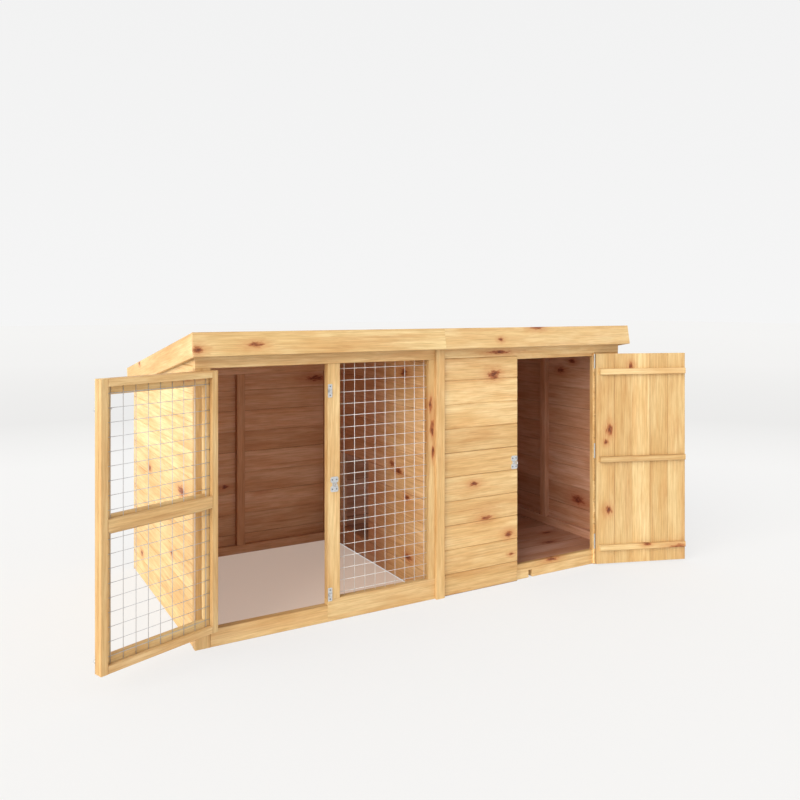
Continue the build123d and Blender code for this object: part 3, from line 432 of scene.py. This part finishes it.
# clear-stained pine that follows each board's own grain, with the knots seen in the photo
def pineMaterial(name, shade, knots, jointed):
    material = bpy.data.materials.new(name)
    material.use_nodes = True
    tree = material.node_tree
    surface = tree.nodes["Principled BSDF"]
    wood = tree.nodes.new("ShaderNodeGroup")
    wood.node_tree = pineGroup
    wood.inputs["Knot"].default_value = pineSettings["noKnot"]
    grain = newNode(tree, "ShaderNodeAttribute", attribute_name="grain")
    tone = newNode(tree, "ShaderNodeAttribute", attribute_name="tone")
    tree.links.new(grain.outputs["Vector"], wood.inputs["Grain"])
    tree.links.new(tone.outputs["Fac"], wood.inputs["Tone"])
    where = tree.nodes.new("ShaderNodeTexCoord")
    nearest = None
    for centre, radii in knots:
        knot = tree.nodes.new("ShaderNodeGroup")
        knot.node_tree = knotGroup
        knot.inputs["Centre"].default_value = centre
        knot.inputs["Reach"].default_value = [1 / radius for radius in radii]
        knot.inputs["Before"].default_value = pineSettings["noKnot"]
        tree.links.new(where.outputs["Object"], knot.inputs["Position"])
        if nearest:
            tree.links.new(nearest, knot.inputs["Before"])
        nearest = knot.outputs[0]
    if nearest:
        tree.links.new(nearest, wood.inputs["Knot"])
    # painted light and shade of this piece, multiplied into the wood's colour
    lightAndShade = tree.nodes.new("ShaderNodeGroup")
    lightAndShade.node_tree = lightAndShadeGroup
    outdoors = shade.get("outdoors", (1.0, 1.0, 1.0, 1))
    near, far = shade.get("reach", (0.0, 1.0))
    for socket, value in (
        ("Outward", shade.get("outward", (0, 0, 1))), ("Outdoors", outdoors), ("Near", near), ("Far", far),
        ("IndoorShade", shade.get("indoorShade", outdoors)), ("DeepShade", shade.get("deep", outdoors)),
    ):
        lightAndShade.inputs[socket].default_value = value
    tree.links.new(where.outputs["Object"], lightAndShade.inputs["Position"])
    tree.links.new(where.outputs["Normal"], lightAndShade.inputs["Normal"])
    colour = mixColour(tree, 1.0, wood.outputs["Colour"], lightAndShade.outputs[0], "MULTIPLY")
    joint = tree.nodes.new("ShaderNodeGroup")
    joint.node_tree = jointShadowGroup
    edge = newNode(tree, "ShaderNodeAttribute", attribute_name="edge")
    tree.links.new(edge.outputs["Vector"], joint.inputs["Edge"])
    tree.links.new(tone.outputs["Fac"], joint.inputs["Tone"])
    joint.inputs["Strength"].default_value = jointed
    joint.inputs["Width"].default_value = pineSettings["jointWidth"]
    # painted shadow in the grooves of the board joints
    colour = mixColour(tree, joint.outputs[0], colour, pineSettings["jointShade"], "MULTIPLY")
    tree.links.new(colour, surface.inputs["Base Color"])
    tree.links.new(wood.outputs["Roughness"], surface.inputs["Roughness"])
    bump = newNode(
        tree, "ShaderNodeBump",
        Strength=pineSettings["bumpStrength"], Distance=pineSettings["bumpHeight"],
    )
    tree.links.new(wood.outputs["Height"], bump.inputs["Height"])
    tree.links.new(bump.outputs[0], surface.inputs["Normal"])
    surface.inputs["Specular IOR Level"].default_value = pineSettings["shine"]
    return material


# zinc with faint spangle and dull patches
metalSettings = {
    "dullShare": 0.72,
    "roughnessSpread": 0.25,
    "bumpStrength": 0.2,
    "bumpHeight": 0.0002,
    "zincPlate": {"colour": (0.74, 0.76, 0.78, 1), "roughness": 0.25, "metallic": 0.75, "spots": 240.0},
    "screwSteel": {"colour": (0.30, 0.30, 0.31, 1), "roughness": 0.4, "metallic": 0.8, "spots": 400.0},
    "paintedLitWire": {"colour": (0.92, 0.93, 0.94, 1), "roughness": 0.5, "metallic": 0.1, "spots": 500.0},
    "paintedShadedWire": {"colour": (0.64, 0.65, 0.67, 1), "roughness": 0.4, "metallic": 0.3, "spots": 500.0},
}


def metalMaterial(name):
    metal = metalSettings[name]
    material = bpy.data.materials.new(name)
    material.use_nodes = True
    tree = material.node_tree
    surface = tree.nodes["Principled BSDF"]
    where = tree.nodes.new("ShaderNodeTexCoord")
    spots = newNode(tree, "ShaderNodeTexNoise", Scale=metal["spots"], Detail=4.0, Roughness=0.6)
    tree.links.new(where.outputs["Object"], spots.inputs["Vector"])
    dull = tuple(value * metalSettings["dullShare"] for value in metal["colour"][:3]) + (1,)
    spangle = rampNode(tree, spots.outputs["Fac"], [(0.3, dull), (0.65, metal["colour"])])
    tree.links.new(spangle, surface.inputs["Base Color"])
    rough = mathNode(tree, "MULTIPLY_ADD", spots.outputs["Fac"], metalSettings["roughnessSpread"])
    rough.node.inputs[2].default_value = metal["roughness"]
    tree.links.new(rough, surface.inputs["Roughness"])
    bump = newNode(
        tree, "ShaderNodeBump",
        Strength=metalSettings["bumpStrength"], Distance=metalSettings["bumpHeight"],
    )
    tree.links.new(spots.outputs["Fac"], bump.inputs["Height"])
    tree.links.new(bump.outputs[0], surface.inputs["Normal"])
    surface.inputs["Metallic"].default_value = metal["metallic"]
    return material


feltSettings = {
    "gritScale": 700.0,
    "weatherScale": 2.5,
    "darkGrit": (0.035, 0.05, 0.035, 1),
    "lightGrit": (0.16, 0.19, 0.14, 1),
    "wornPatch": (0.75, 0.78, 0.75, 1),
    "roughness": 0.92,
    "bumpStrength": 0.6,
    "bumpHeight": 0.0008,
}


def feltMaterial():  # mineral roofing felt: fine grit of several greens and greys
    material = bpy.data.materials.new("mineralFelt")
    material.use_nodes = True
    tree = material.node_tree
    surface = tree.nodes["Principled BSDF"]
    where = tree.nodes.new("ShaderNodeTexCoord")
    grit = newNode(tree, "ShaderNodeTexVoronoi", Scale=feltSettings["gritScale"])
    tree.links.new(where.outputs["Object"], grit.inputs["Vector"])
    weather = newNode(tree, "ShaderNodeTexNoise", Scale=feltSettings["weatherScale"], Detail=5.0)
    tree.links.new(where.outputs["Object"], weather.inputs["Vector"])
    shades = [(0.1, feltSettings["darkGrit"]), (0.9, feltSettings["lightGrit"])]
    grain = rampNode(tree, grit.outputs["Color"], shades)
    patches = [(0.3, feltSettings["wornPatch"]), (0.7, (1, 1, 1, 1))]
    patch = rampNode(tree, weather.outputs["Fac"], patches)
    tree.links.new(mixColour(tree, 1.0, grain, patch, "MULTIPLY"), surface.inputs["Base Color"])
    surface.inputs["Roughness"].default_value = feltSettings["roughness"]
    bump = newNode(
        tree, "ShaderNodeBump",
        Strength=feltSettings["bumpStrength"], Distance=feltSettings["bumpHeight"],
    )
    tree.links.new(grit.outputs["Distance"], bump.inputs["Height"])
    tree.links.new(bump.outputs[0], surface.inputs["Normal"])
    return material


def dress(item, material):  # give a piece one material
    item.data.materials.clear()
    item.data.materials.append(material)


# Knots where the photo shows them: centre, then radii along X, Y and Z
knotPlaces = {
    "kennel_front_boards_left": [
        ((0.309, -0.56, 1.002), (0.034, 0.2, 0.020)), ((0.193, -0.56, 0.498), (0.024, 0.2, 0.011)),
        ((0.260, -0.56, 0.329), (0.028, 0.2, 0.010)), ((0.395, -0.56, 0.234), (0.022, 0.2, 0.015)),
        ((0.410, -0.56, 0.136), (0.013, 0.2, 0.007)),
    ],
    "kennel_head_board": [((0.344, -0.56, 1.108), (0.06, 0.2, 0.009))],
    "partition_boards": [
        ((-0.028, -0.291, 1.006), (0.2, 0.030, 0.020)), ((-0.028, -0.173, 0.548), (0.2, 0.022, 0.012)),
        ((-0.028, -0.238, 0.522), (0.2, 0.034, 0.014)), ((-0.028, -0.320, 0.408), (0.2, 0.020, 0.014)),
        ((-0.028, -0.329, 0.127), (0.2, 0.032, 0.016)),
    ],
    "run_back_boards": [
        ((-0.117, 0.548, 0.92), (0.05, 0.2, 0.016)), ((-0.647, 0.548, 0.36), (0.018, 0.2, 0.010)),
    ],
    "right_wall_boards": [
        ((1.103, -0.131, 0.963), (0.2, 0.028, 0.014)), ((1.103, -0.222, 1.02), (0.2, 0.024, 0.012)),
        ((1.103, -0.271, 0.251), (0.2, 0.050, 0.024)), ((1.103, 0.008, 0.309), (0.2, 0.02, 0.01)),
    ],
    "floor_boards": [
        ((0.968, -0.168, 0.064), (0.03, 0.014, 0.2)), ((0.859, -0.312, 0.064), (0.04, 0.016, 0.2)),
    ],
    "kennel_sill": [((0.676, -0.548, 0.067), (0.038, 0.2, 0.008))],
    "front_fascia_left": [((-1.121, -0.617, 1.159), (0.022, 0.2, 0.014))],
    "front_fascia_right": [
        ((0.533, -0.605, 1.226), (0.035, 0.2, 0.012)), ((0.309, -0.615, 1.17), (0.014, 0.2, 0.009)),
    ],
    "left_bargeboard": [((-1.138, 0.325, 1.051), (0.2, 0.016, 0.009))],
    "left_wall_boards": [
        ((-1.115, 0.202, 0.57), (0.2, 0.024, 0.014)), ((-1.115, 0.374, 0.126), (0.2, 0.022, 0.012)),
        ((-1.115, -0.201, 0.28), (0.2, 0.018, 0.012)),
    ],
    "kennel_door_boards": [
        ((1.011, -0.603, 0.691), (0.016, 0.2, 0.026)), ((1.007, -0.602, 0.281), (0.015, 0.2, 0.022)),
        ((1.122, -0.644, 1.021), (0.012, 0.2, 0.018)), ((0.993, -0.597, 0.63), (0.010, 0.2, 0.013)),
    ],
    "kennel_door_ledges": [((1.19, -0.668, 0.101), (0.018, 0.2, 0.008))],
    "run_door_rails": [((-1.145, -0.647, 1.063), (0.045, 0.2, 0.014))],
    "mesh_panel_stile": [
        ((-0.038, -0.56, 0.771), (0.010, 0.2, 0.042)), ((-0.047, -0.56, 0.88), (0.009, 0.2, 0.030)),
        ((-0.033, -0.56, 0.666), (0.008, 0.2, 0.026)),
    ],
}
# Painted light and shade of single nodes: indoor faces and frames get a redder, darker painted shade, and
# some pieces are painted lighter or darker as the light falls on them
runPaintedShade = (0.90, 0.73, 0.90, 1)
kennelPaintedShade = (0.80, 0.62, 0.84, 1)
piecePaintedLight = {
    "run_back_boards": {"indoorShade": runPaintedShade, "outward": (0, 1, 0)},
    "run_back_frame": {"outdoors": runPaintedShade},
    "left_wall_frame": {"outdoors": runPaintedShade},
    "kennel_back_boards": {"indoorShade": (0.98, 0.80, 1.16, 1), "outward": (0, 1, 0)},
    "kennel_back_frame": {"outdoors": kennelPaintedShade},
    "right_wall_boards": {"indoorShade": (0.76, 0.58, 0.78, 1), "outward": (1, 0, 0)},
    "right_wall_frame": {"outdoors": kennelPaintedShade},
    "partition_frame": {"outdoors": kennelPaintedShade},
    "floor_boards": {"outdoors": (0.66, 0.52, 0.76, 1)},
    # partition: painted light towards the front, painted shade deeper in, and the kennel's painted shade
    # on its kennel side
    "partition_boards": {
        "outdoors": (1.16, 1.08, 1.14, 1), "deep": (0.80, 0.60, 0.74, 1), "reach": (-0.30, 0.04),
        "indoorShade": kennelPaintedShade, "outward": (-1, 0, 0),
    },
    "kennel_door_boards": {"outdoors": (0.87, 0.88, 0.87, 1)},
    "kennel_door_ledges": {"outdoors": (0.87, 0.87, 0.86, 1)},
    "run_door_stiles": {"outdoors": (1.05, 1.10, 1.12, 1)},
    "run_door_rails": {"outdoors": (1.03, 1.07, 1.08, 1)},
    "mesh_panel_bottom_rail": {"outdoors": (0.88, 0.87, 0.84, 1)},
    "front_fascia_right": {"outdoors": (0.92, 0.95, 0.98, 1)},
    "front_fascia_left": {"outdoors": (0.98, 1.03, 1.05, 1)},
    "left_wall_boards": {"outdoors": (1.0, 1.03, 1.05, 1), "indoorShade": runPaintedShade, "outward": (-1, 0, 0)},
    "kennel_front_boards_right": {"outdoors": (1.1, 1.1, 1.08, 1)},
}
jointShadowStrengths = {"framing": 0.22, "door": 0.30, "wall": 0.55}  # how dark the painted shadow in the board joints is
zinc = metalMaterial("zincPlate")
screwSteel = metalMaterial("screwSteel")
# one zinc wire in two copies: the front mesh's with painted light, the door mesh's with painted shade as
# if lit from behind
wires = {
    "run_front_mesh": metalMaterial("paintedLitWire"),
    "run_door_mesh": metalMaterial("paintedShadedWire"),
}
felt = feltMaterial()
for name, item in nodes.items():
    if name == "roof_felt":
        dress(item, felt)
    elif name in woodNodes:
        shade = piecePaintedLight.get(name, {})
        kind = "framing" if "boards" not in name else "door" if "door" in name else "wall"
        knots = knotPlaces.get(name, ())
        dress(item, pineMaterial("pine_" + name, shade, knots, jointShadowStrengths[kind]))
    elif "screws" in name:
        dress(item, screwSteel)
    elif "mesh" not in name:
        dress(item, zinc)
print("stage: materials assigned")

# Welded mesh: round wires in two crossing layers, in place of the flat holed sheets
meshSettings = {
    "wireRadius": 0.0011,
    "layerShift": 0.0001,
    "wireSides": 6,
    "edgeInset": 0.0012,
    "pitch": 0.05,
    "panels": {
        "run_front_mesh": {
            "across": (0.602, 1.073), "high": (0.078, 1.099), "first": (0.645, 0.1095), "deep": 0.0192,
        },
        "run_door_mesh": {
            "across": (0.0085, 0.4855), "high": (0.081, 1.072), "first": (0.0465, 0.1265), "deep": 0.0242,
        },
    },
}


def addWire(shape, start, end, radius, sides):  # one straight wire with closed ends
    length = (end - start).length
    turn = (end - start).to_track_quat("Z", "Y").to_matrix().to_4x4()
    place = Matrix.Translation((start + end) / 2) @ turn
    bmesh.ops.create_cone(
        shape, cap_ends=True, segments=sides, radius1=radius, radius2=radius, depth=length, matrix=place
    )


def makeMesh(name, settings):  # the wires of one mesh panel
    panel = settings["panels"][name]
    radius, shift = settings["wireRadius"], settings["layerShift"]
    edge = settings["edgeInset"]
    shape = bmesh.new()

    def places(span, first):
        found = [span[0] + edge]
        value = first
        while value < span[1] - settings["pitch"] / 3:
            found.append(value)
            value += settings["pitch"]
        return found + [span[1] - edge]

    (left, right), (low, high) = panel["across"], panel["high"]
    for x in places(panel["across"], panel["first"][0]):
        start = Vector((x, panel["deep"] - shift, low))
        addWire(shape, start, Vector((x, panel["deep"] - shift, high)), radius, settings["wireSides"])
    for z in places(panel["high"], panel["first"][1]):
        start = Vector((left, panel["deep"] + shift, z))
        addWire(shape, start, Vector((right, panel["deep"] + shift, z)), radius, settings["wireSides"])
    body = nodes[name]["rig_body"]
    if body == "run_door":
        shape.transform(doorMatrix(body))
    else:
        shape.transform(Matrix.Translation(houseCorner))
    mesh = bpy.data.meshes.new(name + "_wires")
    shape.to_mesh(mesh)
    shape.free()
    mesh.polygons.foreach_set("use_smooth", [True] * len(mesh.polygons))
    piece = bpy.data.objects.new(name + "_wires", mesh)
    bpy.context.scene.collection.objects.link(piece)
    dress(piece, wires[name])
    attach(piece, body)
    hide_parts(name)


for name in meshSettings["panels"]:
    makeMesh(name, meshSettings)
print("stage: mesh wires made")

# Camera: solved from the photo's vanishing points
cameraSettings = {
    "place": (-1.95745, -3.59805, 1.32),
    "turn": -29.973,
    "lens": 35.7365,
    "shift": -0.115625,
    "sensor": 36,
    "farthest": 200,
}
lens = bpy.data.cameras.new("photoCamera")
lens.lens = cameraSettings["lens"]
lens.sensor_width = cameraSettings["sensor"]
lens.shift_y = cameraSettings["shift"]
lens.clip_end = cameraSettings["farthest"]
camera = bpy.data.objects.new("photoCamera", lens)
camera.location = cameraSettings["place"]
camera.rotation_euler = (math.radians(90), 0, math.radians(cameraSettings["turn"]))
bpy.context.scene.collection.objects.link(camera)
bpy.context.scene.camera = camera
print("stage: camera placed")

# Light: a very broad sun low on the left, a bright even surround and a white studio floor
lightSettings = {
    "sunStrength": 2.75,
    "sunAngle": 50,
    "sunColour": (1.0, 0.96, 0.86),
    "sunFrom": (-0.930, -0.368, 0.42),
    "surround": 0.82,
    "surroundColour": (1.0, 0.985, 0.97, 1),
    "floorBounce": (0.86, 0.86, 0.86, 1),
    "floorRoughness": 0.9,
    "floorShine": 0.1,
    "floorSeen": [(0.0, 0.93), (0.18, 0.93), (0.25, 0.845), (0.5, 0.90), (1.0, 0.915)],
    "floorFade": 40.0,
    "floorSize": 60,
    "floorDrop": 0.0005,
    "skySeen": [(0.0, 0.915), (0.35, 0.89)],
    "floorShadow": 0.28,
    "floorDim": 0.86,
    "runGround": ((-1.10, -0.53), (-0.03, 0.56)),
    "runGroundShadow": 0.62,
    "runGroundPaintedBounce": (0.98, 0.80, 0.68, 1),
}
sun = bpy.data.lights.new("sun", "SUN")
sun.energy = lightSettings["sunStrength"]
sun.angle = math.radians(lightSettings["sunAngle"])
sun.color = lightSettings["sunColour"]
sunObject = bpy.data.objects.new("sun", sun)
sunObject.rotation_euler = Vector(lightSettings["sunFrom"]).to_track_quat("Z", "Y").to_euler()
bpy.context.scene.collection.objects.link(sunObject)


def greyStops(pairs):  # ramp stops from (place, grey) pairs
    return [(place, (grey, grey, grey, 1)) for place, grey in pairs]


world = bpy.data.worlds.new("studio")
bpy.context.scene.world = world
world.use_nodes = True
tree = world.node_tree
tree.nodes.clear()
output = tree.nodes.new("ShaderNodeOutputWorld")
lighting = newNode(
    tree, "ShaderNodeBackground", Color=lightSettings["surroundColour"], Strength=lightSettings["surround"]
)
seen = newNode(tree, "ShaderNodeBackground", Strength=1.0)
where = tree.nodes.new("ShaderNodeTexCoord")
parts = tree.nodes.new("ShaderNodeSeparateXYZ")
tree.links.new(where.outputs["Generated"], parts.inputs[0])
sky = rampNode(tree, parts.outputs[2], greyStops(lightSettings["skySeen"]))
tree.links.new(sky, seen.inputs["Color"])
mixer = tree.nodes.new("ShaderNodeMixShader")
tree.links.new(directRays(tree), mixer.inputs[0])
tree.links.new(lighting.outputs[0], mixer.inputs[1])
tree.links.new(seen.outputs[0], mixer.inputs[2])
tree.links.new(mixer.outputs[0], output.inputs[0])

floorShape = bmesh.new()
bmesh.ops.create_grid(floorShape, x_segments=1, y_segments=1, size=lightSettings["floorSize"])
floorMesh = bpy.data.meshes.new("studioFloor")
floorShape.to_mesh(floorMesh)
floorShape.free()
floor = bpy.data.objects.new("studioFloor", floorMesh)
floor.location = (0, 0, -lightSettings["floorDrop"])
bpy.context.scene.collection.objects.link(floor)


def floorLook():  # a white floor that bounces light like paper and is seen as the photo's pale backdrop
    light = lightSettings
    material = bpy.data.materials.new("studioFloor")
    material.use_nodes = True
    tree = material.node_tree
    surface = tree.nodes["Principled BSDF"]
    surface.inputs["Base Color"].default_value = light["floorBounce"]
    surface.inputs["Roughness"].default_value = light["floorRoughness"]
    surface.inputs["Specular IOR Level"].default_value = light["floorShine"]
    where = tree.nodes.new("ShaderNodeTexCoord")
    apart = newNode(tree, "ShaderNodeVectorMath", operation="DISTANCE")
    tree.links.new(where.outputs["Object"], apart.inputs[0])
    apart.inputs[1].default_value = (cameraSettings["place"][0], cameraSettings["place"][1], 0)
    far = mathNode(tree, "DIVIDE", apart.outputs["Value"], light["floorFade"])
    shade = rampNode(tree, far, greyStops(light["floorSeen"]))
    corner = tree.nodes.new("ShaderNodeSeparateXYZ")
    tree.links.new(where.outputs["Object"], corner.inputs[0])
    inside = 1.0
    for axis in (0, 1):
        tests = zip(("GREATER_THAN", "LESS_THAN"), light["runGround"])
        for test, limits in tests:
            within = mathNode(tree, test, corner.outputs[axis], limits[axis])
            inside = mathNode(tree, "MULTIPLY", within, inside)
    # inside the run the seen floor gets a warm painted shade, standing for light bounced off the wood
    shade = mixColour(tree, inside, shade, mixColour(tree, 1.0, shade, light["runGroundPaintedBounce"], "MULTIPLY"))
    glow = newNode(tree, "ShaderNodeEmission", Strength=1.0)
    tree.links.new(shade, glow.inputs["Color"])
    seen = newNode(tree, "ShaderNodeBsdfDiffuse")
    dimmed = mixColour(tree, 1.0, shade, (light["floorDim"],) * 3 + (1,), "MULTIPLY")
    tree.links.new(dimmed, seen.inputs["Color"])
    blend = tree.nodes.new("ShaderNodeMixShader")
    share = mathNode(tree, "MULTIPLY", inside, light["runGroundShadow"] - light["floorShadow"])
    tree.links.new(mathNode(tree, "ADD", share, light["floorShadow"]), blend.inputs[0])
    tree.links.new(glow.outputs[0], blend.inputs[1])
    tree.links.new(seen.outputs[0], blend.inputs[2])
    choose = tree.nodes.new("ShaderNodeMixShader")
    tree.links.new(directRays(tree), choose.inputs[0])
    tree.links.new(surface.outputs[0], choose.inputs[1])
    tree.links.new(blend.outputs[0], choose.inputs[2])
    tree.links.new(choose.outputs[0], tree.nodes["Material Output"].inputs[0])
    return material


dress(floor, floorLook())
bpy.context.scene.view_settings.view_transform = "Standard"
print("stage: light and floor made")
